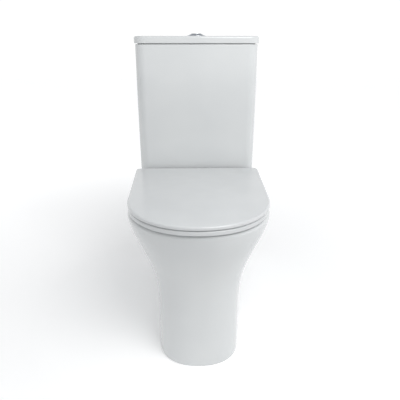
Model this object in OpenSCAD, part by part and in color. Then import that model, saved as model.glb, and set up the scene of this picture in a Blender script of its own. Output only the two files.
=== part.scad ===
// Close coupled toilet: pan, cistern, slim seat and lid, and the working parts inside.
// X is across, the front faces -Y, Z is up. The origin is on the floor, midway between
// the wall and the front of the seat. Most depths are given as a distance from the wall.

/* [Overall] */
// Distance from the wall to the front of the seat lid
projection = 618; // [612:1:624]
// Height of the pan's rim above the floor
rim_z = 405; // [402:1:408]

/* [Pan] */
// Half width of the straight foot
foot_half = 107.5; // [104:0.5:110]
// Distance from the wall to the front of the foot
foot_front = 556; // [550:1:560]
// Half width of the foot where it meets the wall
foot_rear_half = 138; // [136:1:140]
// Half width at the rim
rim_half = 181.5; // [180:0.5:183]
// Distance from the wall to the front of the rim
rim_front = 612; // [608:1:613]
// Radius of the rim's outer edge
rim_edge_r = 12; // [8:1:14]
// Thickness of the pan's outer wall
skirt_wall = 13; // [11:1:15]
// Thickness of the deck and of the rim
deck_thick = 17; // [15:1:19]
// Thickness of the bowl's wall
bowl_wall = 11; // [10:1:13]
// Half width of the bowl at the rim
bowl_half = 133; // [128:1:135]
// Distance from the wall to the back of the bowl
bowl_rear = 247; // [245:1:252]
// Distance from the wall to the front of the bowl
bowl_front = 560; // [554:1:562]
// Height of the bowl's lowest point
sump_z = 68; // [66:1:72]

/* [Outlet] */
// Height of the outlet's centre
outlet_z = 180; // [178:1:182]
// Outside radius of the outlet spigot
outlet_r = 51; // [50.5:0.5:52]
// Wall thickness of the outlet spigot
outlet_wall = 7; // [6:0.5:8]
// Distance from the wall to the end of the spigot
outlet_end = 45; // [40:1:50]

/* [Cistern] */
// Width of the cistern
tank_w = 356; // [352:1:358]
// Distance from the wall to the front of the cistern
tank_front = 162; // [160:1:163]
// Distance from the wall to the back of the cistern
tank_back = 4; // [3:1:8]
// Height of the cistern's underside
tank_z = 415; // [414:1:416]
// Height of the cistern's top edge
tank_top = 790; // [786:1:790]
// Radius of the cistern's front corners
tank_corner = 30; // [26:1:34]
// Thickness of the cistern's walls
tank_wall = 9; // [8:0.5:10]
// Thickness of the cistern's floor
tank_floor = 12; // [11:1:13]
// Width of the cistern lid
lid_w = 362; // [360:1:364]
// Thickness of the cistern lid's edge
lid_edge = 20; // [18:1:21]
// Shadow gap between the cistern and its lid
lid_gap = 2; // [1.5:0.5:3]

/* [Seat] */
// Half width of the seat at the hinges
seat_rear_half = 187.5; // [185:0.5:188]
// Half width of the seat at its middle
seat_half = 179; // [177:1:180]
// Underside of the ring
ring_z = 407.5; // [407.5:0.5:408]
// Thickness of the ring
ring_thick = 11; // [10:0.5:11]
// Underside of the lid
seat_lid_z = 420.5; // [420.5:0.5:421]
// Thickness of the lid
seat_lid_thick = 9.5; // [9:0.5:10]
// Half width of the ring's opening
ring_hole_half = 108; // [104:1:112]
// Height of the hinge axis
hinge_z = 421; // [420.8:0.1:421.2]
// Distance from the wall to the hinge axis
hinge_d = 188; // [187.5:0.5:188.5]
// Spacing of the two hinges
hinge_span = 155; // [153:1:157]

/* [Flush button] */
// Radius of the button housing's flange
button_flange_r = 30; // [28:0.5:31]
// Height of the housing's flange above the lid
button_rise = 6.3; // [5.5:0.1:6.5]
// Travel of each button
button_travel = 8; // [7:0.5:8]

/* [Hidden] */
$fn = 48;
e = 0.01;

function mix(a, b, t) = a + (b - a) * t;
function smooth(t) = t * t * (3 - 2 * t);
function clamp01(t) = min(max(t, 0), 1);
// Y of a point at distance d from the wall
function wall(d) = projection / 2 - d;
function super(t, p) = sign(t) * pow(abs(t), 2 / p);

// ---- the pan's outline, level by level ----
flare_low = 130;
flare_high = 408;
flare_power = 1.6;
front_steps = 40;
side_steps = 6;
foot_middle = 448;
rim_middle = 425;
rim_rear_half = 184;
foot_round = 2.35;
rim_round = 2.15;

// How far the pan has flared from foot (0) to rim (1) at height z
function flare(z) = smooth(pow(clamp01((z - flare_low) / (flare_high - flare_low)), flare_power));
// How far the outline pulls in at height z to round the rim's outer edge
function edge_inset(z) =
    let(h = max(0, z - (rim_z - rim_edge_r)))
    rim_edge_r - sqrt(max(0, rim_edge_r * rim_edge_r - h * h));

function side_half(half, rear_half, middle, d) =
    half + (rear_half - half) * pow(max(0, (middle - d) / middle), 1.5);

// One level of the pan, clockwise from above, starting at the right rear corner
function pan_level(z, inset, back) =
    let(s = flare(z), half = mix(foot_half, rim_half, s), rear = mix(foot_rear_half, rim_rear_half, s),
        middle = mix(foot_middle, rim_middle, s), reach = mix(foot_front, rim_front, s) - middle,
        p = mix(foot_round, rim_round, s))
    [for (i = [0 : side_steps - 1]) let(d = mix(back, middle, i / side_steps))
        [side_half(half, rear, middle, d) - inset, wall(d), z],
     for (i = [0 : front_steps]) let(a = 90 - 180 * i / front_steps)
        [(half - inset) * super(sin(a), p), wall(middle + (reach - inset) * super(cos(a), p)), z],
     for (i = [side_steps - 1 : -1 : 0]) let(d = mix(back, middle, i / side_steps))
        [-side_half(half, rear, middle, d) + inset, wall(d), z]];

// Bowl size at height z, as a share between the sump (0) and the rim (1)
function bowl_share(z, low) = pow(1 - pow(clamp01((rim_z - z) / (rim_z - low)), 1.6), 1.15);
bowl_steps = 36;
sump_half = 40;
sump_middle = 392;
bowl_round = 2.2;
function bowl_level(z, low, grow) =
    let(s = bowl_share(min(z, rim_z), low), middle = mix(sump_middle, (bowl_rear + bowl_front) / 2, s),
        half = mix(sump_half, bowl_half, s) + grow,
        reach = mix(sump_half, (bowl_front - bowl_rear) / 2, s) + grow)
    [for (i = [0 : bowl_steps - 1]) let(a = 90 - 360 * i / bowl_steps)
        [half * super(sin(a), bowl_round), wall(middle + reach * super(cos(a), bowl_round)), z]];

// The trapway's centreline: level out of the sump, up over the weir, down to the outlet
sump_pipe_z = 104;
weir_z = 222;
trap_start = 400;
trap_rise = 352;
trap_weir = 216;
trap_level = 122;
function trap_height(d) =
    d > trap_rise ? sump_pipe_z
    : d > trap_weir ? mix(sump_pipe_z, weir_z, smooth((trap_rise - d) / (trap_rise - trap_weir)))
    : mix(weir_z, outlet_z, smooth(clamp01((trap_weir - d) / (trap_weir - trap_level))));
trap_steps = 22;
trap_sides = 20;
trap_r = 34;
outlet_bore_r = outlet_r - outlet_wall;
function trap_radius(d) = mix(trap_r, outlet_bore_r - 1, clamp01((trap_weir - d) / (trap_weir - trap_level)));
function trap_ring(d, grow) =
    let(up = trap_height(d - 1) - trap_height(d + 1), run = sqrt(4 + up * up), r = trap_radius(d) + grow)
    [for (i = [0 : trap_sides - 1]) let(a = 360 * i / trap_sides)
        [r * cos(a), wall(d) - r * sin(a) * up / run, trap_height(d) + r * sin(a) * 2 / run]];

// Joins levels of equal length, each clockwise from the far end, into a closed solid
module loft(levels) {
    n = len(levels[0]);
    m = len(levels);
    polyhedron(
        points = [for (level = levels) for (p = level) p],
        faces = [
            [for (i = [n - 1 : -1 : 0]) i],
            [for (i = [0 : n - 1]) (m - 1) * n + i],
            for (k = [0 : m - 2]) for (i = [0 : n - 1]) let(j = (i + 1) % n)
                each [[k * n + i, k * n + j, (k + 1) * n + j], [k * n + i, (k + 1) * n + j, (k + 1) * n + i]]
        ]);
}

module at_x(xs) { for (x = xs) translate([x, 0, 0]) children(); }

// ---- pan ----
// The casting is held as six solids that meet face to face, cut where its clay parts are
// stuck together before firing: skirt, rim with deck, bowl, sump, flush duct and trapway.
foot_chamfer = 2;
flare_levels = 14;
edge_levels = 4;
cavity_top = rim_z - deck_thick;
skirt_heights = concat([foot_chamfer, flare_low],
    [for (i = [1 : flare_levels]) mix(flare_low, cavity_top, i / flare_levels)]);
rim_heights = concat([cavity_top],
    [for (i = [0 : edge_levels]) rim_z - rim_edge_r * (1 - sin(90 * i / edge_levels))]);
cavity_heights = [for (i = [0 : 9]) mix(flare_low, cavity_top + 1, i / 9)];
duct_half = 60;
duct_z = 330;
duct_wall = 11;
duct_roof = 6;
duct_back = 40;
inlet_hole_r = 35;
flush_d = 85;
inlet_x = 102;
inlet_d = 58;
notch_half = 20;
notch_d = 78;
coupling_x = 74;
post_d = 196;
side_screw_d = 120;
side_screw_z = 45;
side_screw_r = 4;
bowl_join = 195;

// Heights from low to high, closer together near the bottom
function bowl_heights(low, high) = [for (i = [0 : 10]) mix(low, high, 1 - cos(90 * i / 10))];
// A level of the bowl, carried straight up above the join with the rim
function bowl_join_level(z, low, grow) =
    [for (p = bowl_level(min(z, cavity_top), low, grow)) [p[0], p[1], z]];
// The bowl's outside as a solid, up to the rim and then straight up by extra
module bowl_outside(extra) {
    heights = bowl_heights(sump_z - bowl_wall, cavity_top);
    loft([for (z = extra > 0 ? concat(heights, [cavity_top + extra]) : heights)
        bowl_join_level(z, sump_z - bowl_wall, bowl_wall)]);
}
module bowl_inside() {
    loft([for (z = concat(bowl_heights(sump_z, cavity_top), [cavity_top + 1]))
        bowl_join_level(z, sump_z, 0)]);
}
// The bowl's wall between two heights, with the ways in from the duct and out to the trapway
module bowl_body(low, high) {
    glazed() resize([0, 0, 0]) difference() {
        intersection() {
            bowl_outside(0);
            translate([-rim_half, wall(rim_front), low])
                cube([2 * rim_half, rim_front - duct_back, high - low]);
        }
        bowl_inside();
        trap_inside();
        duct_inside();
    }
}
module trap_inside() {
    loft([for (i = [0 : trap_steps + 1]) trap_ring(mix(trap_start, trap_level, i / trap_steps), 0)]);
}
module duct_inside() {
    translate([-duct_half + duct_wall, wall(bowl_rear + 24), duct_z + duct_wall])
        cube([2 * (duct_half - duct_wall), bowl_rear + 24 - duct_back - duct_wall,
              cavity_top - duct_roof - duct_z - duct_wall]);
}
// Cut-outs in the deck's rear edge, over the supply tail
module notches() {
    at_x([-inlet_x, inlet_x]) translate([-notch_half, wall(notch_d), duct_z])
        cube([2 * notch_half, notch_d + 2, rim_z - duct_z + 1]);
}
module glazed() { color([0.95, 0.96, 0.96]) children(); }

module pan_skirt() {
    glazed() difference() {
        resize([0, 0, 0]) difference() {
            loft(concat([pan_level(0, foot_chamfer, 0)], [for (z = skirt_heights) pan_level(z, 0, 0)]));
            loft(concat([pan_level(-1, skirt_wall, -2)],
                [for (z = cavity_heights) pan_level(z, skirt_wall, -2)]));
            bowl_outside(1);
        }
        translate([-rim_half, wall(side_screw_d), side_screw_z]) rotate([0, 90, 0])
            cylinder(r = side_screw_r + 0.5, h = 2 * rim_half);
    }
}

module pan_rim() {
    glazed() difference() {
        resize([0, 0, 0]) difference() {
            loft([for (z = rim_heights) pan_level(z, edge_inset(z), 0)]);
            loft([for (z = [cavity_top - 1, cavity_top, mix(cavity_top, rim_z, 0.5), rim_z, rim_z + 1])
                bowl_level(z, sump_z, 0)]);
            notches();
        }
        translate([0, wall(flush_d), cavity_top - 1]) cylinder(r = inlet_hole_r, h = deck_thick + 2);
        at_x([-coupling_x, coupling_x]) translate([0, wall(flush_d), cavity_top - 1])
            cylinder(r = 6.5, h = deck_thick + 2);
        at_x([-hinge_span / 2, hinge_span / 2]) translate([0, wall(post_d), cavity_top - 1])
            cylinder(r = 7, h = deck_thick + 2);
    }
}

module pan_bowl() { bowl_body(bowl_join, rim_z); }
module pan_sump() { bowl_body(0, bowl_join); }

module pan_flush_duct() {
    glazed() difference() {
        resize([0, 0, 0]) difference() {
            translate([-duct_half, wall(bowl_rear + 20), duct_z])
                cube([2 * duct_half, bowl_rear + 20 - duct_back, cavity_top - duct_z]);
            bowl_outside(1);
            duct_inside();
        }
        translate([0, wall(flush_d), cavity_top - 10]) cylinder(r = inlet_hole_r, h = 12);
    }
}

module pan_trapway() {
    glazed() difference() {
        union() {
            resize([0, 0, 0]) difference() {
                loft([for (i = [0 : trap_steps])
                    trap_ring(mix(trap_start, trap_level, i / trap_steps), outlet_wall)]);
                bowl_outside(0);
                trap_inside();
            }
            translate([0, wall(outlet_end), outlet_z]) rotate([90, 0, 0])
                cylinder(r = outlet_r, h = trap_level + 2 - outlet_end);
        }
        translate([0, wall(outlet_end - 1), outlet_z]) rotate([90, 0, 0])
            cylinder(r = outlet_bore_r, h = trap_level + 4 - outlet_end);
    }
}

// ---- cistern ----
tank_inner_half = tank_w / 2 - tank_wall;
tank_back_corner = 12;
wall_hole_x = 120;
wall_hole_z = 740;
flush_tail_r = 29;
inlet_thread_r = 10.48;
bolt_r = 4;

// A plan outline with round front and back corners, between two distances from the wall
module plan(half, back, front, front_r, back_r) {
    corner_x = half - front_r;
    translate([-half, wall(front) + front_r]) square([2 * half, front - back - front_r - back_r]);
    translate([-corner_x, wall(front)]) square([2 * corner_x, front_r + e]);
    translate([-(half - back_r), wall(back) - back_r - e]) square([2 * (half - back_r), back_r + e]);
    at_x([-corner_x, corner_x]) translate([0, wall(front) + front_r]) circle(r = front_r);
    at_x([-(half - back_r), half - back_r]) translate([0, wall(back) - back_r]) circle(r = back_r);
}

module cistern() {
    color([0.95, 0.96, 0.96]) difference() {
        translate([0, 0, tank_z]) linear_extrude(tank_top - tank_z)
            plan(tank_w / 2, tank_back, tank_front, tank_corner, tank_back_corner);
        translate([0, 0, tank_z + tank_floor]) linear_extrude(tank_top - tank_z)
            plan(tank_inner_half, tank_back + tank_wall, tank_front - tank_wall,
                 tank_corner - tank_wall, tank_back_corner - tank_wall);
        translate([0, wall(flush_d), tank_z - 1]) cylinder(r = flush_tail_r + 2.5, h = tank_floor + 2);
        translate([inlet_x, wall(inlet_d), tank_z - 1])
            cylinder(r = inlet_thread_r + 1.5, h = tank_floor + 2);
        at_x([-coupling_x, coupling_x]) translate([0, wall(flush_d), tank_z - 1])
            cylinder(r = bolt_r + 1.5, h = tank_floor + 2);
        at_x([-wall_hole_x, wall_hole_x]) translate([0, wall(tank_back - 1), wall_hole_z]) rotate([90, 0, 0])
            cylinder(r = 4, h = tank_wall + 2);
    }
}

lid_z = tank_top + lid_gap;
lid_top = lid_z + lid_edge;
lid_overhang = 3;
lid_step = 4;
lid_lip_gap = 2.5;
lid_lip = 5;
lid_plate = 9;
sleeve_r = 18;

module cistern_lid() {
    lip_half = tank_inner_half - lid_lip_gap;
    lip_front = tank_front - tank_wall - lid_lip_gap;
    lip_back = tank_back + tank_wall + lid_lip_gap;
    color([0.95, 0.96, 0.96]) difference() {
        union() {
            translate([0, 0, lid_z]) linear_extrude(lid_edge)
                plan(lid_w / 2, tank_back - 2, tank_front + lid_overhang, tank_corner + 2, tank_back_corner);
            translate([0, 0, tank_top]) linear_extrude(lid_gap + 1)
                plan(lid_w / 2 - lid_step, tank_back + 1, tank_front + lid_overhang - lid_step,
                     tank_corner - 2, tank_back_corner - 2);
            translate([0, 0, tank_top - 8]) linear_extrude(12)
                plan(lip_half, lip_back, lip_front, tank_corner - 10, 4);
        }
        translate([0, 0, tank_top - 9]) linear_extrude(lid_top - lid_plate - tank_top + 9)
            plan(lip_half - lid_lip, lip_back + lid_lip, lip_front - lid_lip, tank_corner - 14, 3);
        translate([0, wall(flush_d), tank_top]) cylinder(r = sleeve_r + 0.8, h = lid_edge + 5);
    }
}

// ---- seat ----
seat_front = projection;
seat_middle = 425;
seat_round = 2.15;
seat_rear = hinge_d - 12;
ring_rear = 204;
seat_corner = 14;
ring_rear_hole = 262;
ring_front_hole = 552;
pocket_r = 6;
knuckle_r = 5.3;
post_w = 16;
ring_knuckle_w = 19;
lid_knuckle_w = 20;
side_gap = 1;
arm_end_gap = 1.5;
pin_r = 2.5;
running = 0.05;
damper_r = 4;

// Half width of the seat's straight sides at distance d from the wall
function seat_side(d) = mix(seat_rear_half, seat_half, (d - seat_rear) / (seat_middle - seat_rear));
function seat_outline(back, inset) =
    let(reach = seat_front - seat_middle - inset)
    [for (i = [0 : 6]) let(a = 90 * i / 6)
        [seat_side(back) - inset - seat_corner * (1 - sin(a)), wall(back + seat_corner * (1 - cos(a)))],
     for (i = [0 : 48]) let(a = 90 - 180 * i / 48)
        [(seat_half - inset) * super(sin(a), seat_round),
         wall(seat_middle + reach * super(cos(a), seat_round))],
     for (i = [6 : -1 : 0]) let(a = 90 * i / 6)
        [-(seat_side(back) - inset - seat_corner * (1 - sin(a))), wall(back + seat_corner * (1 - cos(a)))]];
function oval(half, back, front, p, n) =
    [for (i = [0 : n - 1]) let(a = 90 - 360 * i / n)
        [half * super(sin(a), p), wall((back + front) / 2 + (front - back) / 2 * super(cos(a), p))]];

ring_knuckle_x = hinge_span / 2 - post_w / 2 - side_gap - ring_knuckle_w / 2;
lid_knuckle_x = hinge_span / 2 + post_w / 2 + side_gap + lid_knuckle_w / 2;

// A cylinder along X on the hinge axis, centred at x
module hinge_rod(x, r, w) {
    translate([x - w / 2, wall(hinge_d), hinge_z]) rotate([0, 90, 0]) cylinder(r = r, h = w);
}

module seat_ring() {
    color([0.97, 0.97, 0.97]) difference() {
        union() {
            translate([0, 0, ring_z]) linear_extrude(ring_thick) difference() {
                polygon(seat_outline(ring_rear, 1.5));
                polygon(oval(ring_hole_half, ring_rear_hole, ring_front_hole, 2.15, 56));
            }
            for (s = [-1, 1]) {
                translate([s * ring_knuckle_x - ring_knuckle_w / 2, wall(ring_rear + 4), ring_z + 3])
                    cube([ring_knuckle_w, ring_rear + 4 - hinge_d - arm_end_gap, ring_thick - 3]);
                hinge_rod(s * ring_knuckle_x, knuckle_r, ring_knuckle_w);
            }
        }
        for (s = [-1, 1]) hinge_rod(s * ring_knuckle_x, damper_r, ring_knuckle_w + 2);
    }
}

module seat_lid() {
    pocket_w = post_w + ring_knuckle_w + 3 * side_gap;
    pocket_x = hinge_span / 2 + post_w / 2 + side_gap - pocket_w / 2;
    color([0.97, 0.97, 0.97]) difference() {
        union() {
            difference() {
                translate([0, 0, seat_lid_z]) linear_extrude(seat_lid_thick)
                    polygon(seat_outline(seat_rear, 0));
                for (s = [-1, 1]) hinge_rod(s * pocket_x, pocket_r, pocket_w);
            }
            for (s = [-1, 1]) hinge_rod(s * lid_knuckle_x, knuckle_r, lid_knuckle_w);
        }
        for (s = [-1, 1]) hinge_rod(s * lid_knuckle_x, damper_r, lid_knuckle_w + 2 * side_gap);
    }
}

// Rubber pads, one pair at the front and one at the sides
module pads(z, h, r) {
    for (s = [-1, 1], p = [[155, 330], [92, 562]])
        translate([s * p[0], wall(p[1]), z]) cylinder(r = r, h = h);
}
module ring_buffers() { color([0.9, 0.9, 0.89]) pads(rim_z, ring_z - rim_z, 8); }
module lid_buffers() {
    color([0.9, 0.9, 0.89]) pads(ring_z + ring_thick, seat_lid_z - ring_z - ring_thick, 6);
}

// ---- seat hinges ----
post_base_r = 15;
post_base_h = 2.2;
post_r = 5;
post_top = 417;
stud_end = 350;

module hinge_posts() {
    color([0.8, 0.81, 0.83]) for (s = [-1, 1]) difference() {
        union() {
            translate([s * hinge_span / 2, wall(post_d), rim_z]) cylinder(r = post_base_r, h = post_base_h);
            translate([s * hinge_span / 2, wall(post_d), rim_z]) cylinder(r = post_r, h = post_top - rim_z);
            translate([s * hinge_span / 2 - post_w / 2, wall(post_d + 4.5), post_top - 7])
                cube([post_w, post_d + 4.5 - hinge_d - 1.5, 7]);
            hinge_rod(s * hinge_span / 2, knuckle_r, post_w);
        }
        hinge_rod(s * hinge_span / 2, pin_r, post_w + 2);
        translate([s * hinge_span / 2, wall(post_d), rim_z - 1]) cylinder(r = bolt_r, h = 9);
    }
}

module hinge_pins() {
    w = post_w + ring_knuckle_w + lid_knuckle_w + 2 * side_gap;
    x = (ring_knuckle_x - ring_knuckle_w / 2 + lid_knuckle_x + lid_knuckle_w / 2) / 2;
    color([0.7, 0.71, 0.73]) for (s = [-1, 1]) hinge_rod(s * x, pin_r, w);
}

module damper(x, w) {
    difference() {
        hinge_rod(x, damper_r, w);
        hinge_rod(x, pin_r + running, w + 2);
    }
}
module dampers(x, w) { color([0.3, 0.31, 0.33]) for (s = [-1, 1]) damper(s * x, w); }
module ring_dampers() { dampers(ring_knuckle_x, ring_knuckle_w); }
module lid_dampers() { dampers(lid_knuckle_x, lid_knuckle_w); }

module at_hinges(z) { at_x([-hinge_span / 2, hinge_span / 2]) translate([0, wall(post_d), z]) children(); }

module hinge_studs() {
    color([0.75, 0.76, 0.78]) at_hinges(stud_end) cylinder(r = bolt_r, h = rim_z + 8 - stud_end);
}
module hinge_bushes() {
    color([0.15, 0.15, 0.16]) at_hinges(cavity_top) difference() {
        union() {
            translate([0, 0, -8]) cylinder(r = 13, h = 8);
            cylinder(r = 6.8, h = 10);
        }
        translate([0, 0, -9]) cylinder(r = bolt_r, h = 20);
    }
}

// A nut with two wings, its top face at z = 0
module wing_nut(r, hub, h) {
    difference() {
        union() {
            translate([0, 0, -h]) cylinder(r = hub, h = h);
            translate([-2.2 * hub, -1.6, -h]) cube([4.4 * hub, 3.2, h * 0.8]);
        }
        translate([0, 0, -h - 1]) cylinder(r = r, h = h + 2);
    }
}
module hinge_nuts() {
    color([0.92, 0.92, 0.9]) at_hinges(cavity_top - 8) rotate([0, 0, 90]) wing_nut(bolt_r, 7, 14);
}

// ---- flush button ----
button_r = 16;
button_top = lid_top + button_rise + 1;
housing_floor = lid_top - 18;
full_split = 5;
split_gap = 0.5;
full_rod_x = -11;
half_rod_x = 9.5;
half_rod_y = 5;
rod_r = 2.5;

module at_button(z) { translate([0, wall(flush_d), z]) children(); }

module button_housing() {
    color([0.8, 0.81, 0.83]) at_button(0) difference() {
        union() {
            translate([0, 0, lid_top]) rotate_extrude()
                polygon([[0, 0], [button_flange_r, 0], [button_flange_r, 1], [sleeve_r, button_rise],
                         [0, button_rise]]);
            translate([0, 0, tank_top - 6]) cylinder(r = sleeve_r, h = lid_top - tank_top + 7);
        }
        translate([0, 0, housing_floor]) cylinder(r = button_r + 0.4, h = 40);
        translate([0, 0, tank_top - 7]) cylinder(r = button_r - 0.5, h = housing_floor - tank_top + 4);
        translate([full_rod_x, 0, tank_top]) cylinder(r = rod_r + 0.6, h = lid_edge);
        translate([half_rod_x, half_rod_y, tank_top]) cylinder(r = rod_r + 0.6, h = lid_edge);
    }
}
module housing_nut() {
    nut_top = lid_top - lid_plate;
    color([0.92, 0.92, 0.9]) at_button(nut_top - 7) difference() {
        cylinder(r = 27, h = 7);
        translate([0, 0, -1]) cylinder(r = sleeve_r, h = 9);
    }
}

spring_closed = 6;
button_low = housing_floor + spring_closed + button_travel;
// One part of the split button: keeps the side of the split that sign s points to
module button_part(s) {
    at_button(0) intersection() {
        translate([0, 0, button_low]) rotate_extrude()
            polygon([[0, 0], [button_r, 0], [button_r, button_top - button_low - 1.5],
                     [button_r - 1.5, button_top - button_low], [0, button_top - button_low]]);
        translate([s > 0 ? full_split + split_gap : -30, -30, button_low - 1])
            cube([s > 0 ? 30 : full_split + 30 - split_gap, 60, 30]);
    }
}
module full_button() { color([0.8, 0.81, 0.83]) button_part(-1); }
module half_button() { color([0.8, 0.81, 0.83]) button_part(1); }

rocker_z = 742;
rocker_half = 2.5;
module full_rod() {
    color([0.9, 0.9, 0.88]) at_button(0) translate([full_rod_x, 0, rocker_z + rocker_half + 0.5])
        cylinder(r = rod_r, h = button_low - rocker_z - rocker_half - 0.5);
}
half_rod_low = 760;
module half_rod() {
    color([0.9, 0.9, 0.88]) at_button(0) translate([half_rod_x, half_rod_y, half_rod_low])
        cylinder(r = rod_r, h = button_low - half_rod_low);
}
// The space of a coil spring round a rod, between the housing's floor and the button
module spring_sleeve(x, y) {
    at_button(0) translate([x, y, housing_floor]) difference() {
        cylinder(r = rod_r + 2.2, h = button_low - housing_floor);
        translate([0, 0, -1]) cylinder(r = rod_r + 0.9, h = 30);
    }
}
module full_spring() { color([0.7, 0.71, 0.73]) spring_sleeve(full_rod_x, 0); }
module half_spring() { color([0.7, 0.71, 0.73]) spring_sleeve(half_rod_x, half_rod_y); }

// ---- flush valve ----
floor_top = tank_z + tank_floor;
valve_flange_r = 44;
seat_washer = 3;
valve_flange_z = floor_top + seat_washer;
tail_end = 372;
tail_bore_r = 24;
cage_r = 34;
cage_top = 540;
tower_top = 728;
tube_r = 13;
tube_wall = 2.2;
lift = 11;
tower_bore_r = tube_r + 0.5;

module flush_valve_base() {
    color([0.93, 0.94, 0.95]) at_button(0) difference() {
        union() {
            translate([0, 0, tail_end]) cylinder(r = flush_tail_r, h = valve_flange_z - tail_end + 1);
            translate([0, 0, valve_flange_z]) cylinder(r = valve_flange_r, h = 6);
            translate([0, 0, valve_flange_z + 5]) cylinder(r = cage_r, h = cage_top - valve_flange_z - 5);
        }
        translate([0, 0, tail_end - 1]) cylinder(r = tail_bore_r, h = valve_flange_z + 12 - tail_end);
        translate([0, 0, valve_flange_z + 6]) cylinder(r = cage_r - 3, h = cage_top - valve_flange_z);
        for (a = [0 : 60 : 120]) rotate([0, 0, a]) translate([-cage_r - 1, -11, valve_flange_z + 10])
            cube([2 * cage_r + 2, 22, 70]);
    }
}
module flush_seat_washer() {
    color([0.15, 0.15, 0.16]) at_button(floor_top) difference() {
        cylinder(r = valve_flange_r - 2, h = seat_washer);
        translate([0, 0, -1]) cylinder(r = flush_tail_r, h = seat_washer + 2);
    }
}
backnut_h = 9;
module flush_backnut() {
    color([0.93, 0.94, 0.95]) at_button(tank_z - backnut_h) difference() {
        cylinder(r = 41, h = backnut_h);
        translate([0, 0, -1]) cylinder(r = flush_tail_r, h = backnut_h + 2);
    }
}
module coupling_gasket() {
    color([0.15, 0.15, 0.16]) at_button(rim_z) difference() {
        cylinder(r = 58, h = tank_z - rim_z);
        translate([0, 0, -1]) cylinder(r = 41, h = tank_z - rim_z + 2);
    }
}

rocker_pivot_x = 5;
rocker_left = -16;
rocker_right = 21;
cheek_gap = 0.6;
cheek_w = 3;
rib_half = 22;
rocker_w = 7;
cheek_y = rocker_w / 2 + cheek_gap + cheek_w / 2;
module flush_valve_tower() {
    color([0.35, 0.5, 0.75]) at_button(0) difference() {
        union() {
            translate([0, 0, cage_top]) cylinder(r = cage_r, h = 6);
            translate([0, 0, cage_top]) cylinder(r = tower_bore_r + 3, h = tower_top - cage_top);
            translate([0, 0, tower_top - 8]) cylinder(r = 24, h = 8);
            for (s = [-1, 1]) translate([0, s * cheek_y - cheek_w / 2, tower_top - 2]) {
                translate([rocker_pivot_x - 4, 0, 0]) cube([8, cheek_w, rocker_z + 5 - tower_top + 2]);
                translate([-rib_half, 0, 0]) cube([2 * rib_half, cheek_w, 8]);
            }
        }
        translate([0, 0, cage_top - 1]) cylinder(r = tower_bore_r, h = tower_top - cage_top + 2);
        translate([rocker_pivot_x, -15, rocker_z]) rotate([-90, 0, 0]) cylinder(r = 1.5, h = 30);
    }
}
// The lifting tube ends low enough to stay under the tilted rocker, and its hook
// rises beside the rocker to a lip over the rocker's right end
tube_top = tower_top - lift - 1;
hook_gap = 0.6;
hook_lip_x = 18;
hook_end_x = 32;
hook_post_x = 3;
hook_post_y = -10;
hook_t = 2.5;
module overflow_tube() {
    lip_z = rocker_z + rocker_half + hook_gap;
    color([0.93, 0.94, 0.95]) at_button(0) difference() {
        union() {
            translate([0, 0, valve_flange_z + 12]) cylinder(r = tube_r, h = tube_top - valve_flange_z - 12);
            translate([0, 0, valve_flange_z + 10]) cylinder(r = 29, h = 4);
            translate([hook_post_x, hook_post_y, tube_top - 6]) cube([5, hook_t, lip_z + 3 - tube_top + 6]);
            translate([hook_post_x, hook_post_y, lip_z]) cube([hook_end_x - hook_post_x, hook_t, 3]);
            translate([hook_lip_x, hook_post_y, lip_z]) cube([hook_end_x - hook_lip_x, 14, 3]);
        }
        translate([0, 0, valve_flange_z + 9])
            cylinder(r = tube_r - tube_wall, h = tube_top - valve_flange_z - 8);
    }
}
module flush_seal() {
    color([0.75, 0.2, 0.15]) at_button(valve_flange_z + 6) difference() {
        cylinder(r = 28, h = 4);
        translate([0, 0, -1]) cylinder(r = tube_r - tube_wall, h = 6);
    }
}
module flush_rocker() {
    color([0.9, 0.9, 0.88]) at_button(rocker_z) difference() {
        union() {
            translate([rocker_left, -rocker_w / 2, -rocker_half])
                cube([rocker_right + 5 - rocker_left, rocker_w, 2 * rocker_half]);
            translate([rocker_pivot_x, -rocker_w / 2, 0]) rotate([-90, 0, 0]) cylinder(r = 4, h = rocker_w);
        }
        translate([rocker_pivot_x, -rocker_w, 0]) rotate([-90, 0, 0])
            cylinder(r = 1.5 + running, h = 2 * rocker_w);
    }
}
module rocker_pin() {
    pin_w = rocker_w + 2 * (cheek_gap + cheek_w);
    color([0.7, 0.71, 0.73]) at_button(rocker_z) translate([rocker_pivot_x, -pin_w / 2, 0])
        rotate([-90, 0, 0]) cylinder(r = 1.5, h = pin_w);
}

// ---- close coupling bolts ----
seal_h = 4;
bolt_end = 352;
module at_bolts(z) { at_x([-coupling_x, coupling_x]) translate([0, wall(flush_d), z]) children(); }
module coupling_bolts() {
    color([0.75, 0.76, 0.78]) at_bolts(0) {
        translate([0, 0, bolt_end]) cylinder(r = bolt_r, h = floor_top + seal_h - bolt_end);
        translate([0, 0, floor_top + seal_h]) cylinder(r = 9, h = 5, $fn = 6);
    }
}
module ring_of(r, hole, h) {
    difference() {
        cylinder(r = r, h = h);
        translate([0, 0, -1]) cylinder(r = hole, h = h + 2);
    }
}
module bolt_seals() { color([0.15, 0.15, 0.16]) at_bolts(floor_top) ring_of(12, bolt_r, seal_h); }
module bolt_washers() { color([0.75, 0.76, 0.78]) at_bolts(cavity_top - 2) ring_of(12, bolt_r, 2); }
module wing_nuts() {
    color([0.75, 0.76, 0.78]) at_bolts(cavity_top - 2) rotate([0, 0, 90]) wing_nut(bolt_r, 7, 12);
}

// ---- inlet valve ----
shank_end = 368;
riser_r = 11;
head_z = 690;
head_r = 17;
head_h = 30;
float_z = 600;
float_h = 62;
float_r = 30;
float_travel = 16;
arm_z = 742;
arm_half = 2.5;
arm_pivot = 18;
arm_reach = 40;
module at_inlet(z) { translate([inlet_x, wall(inlet_d), z]) children(); }

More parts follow.
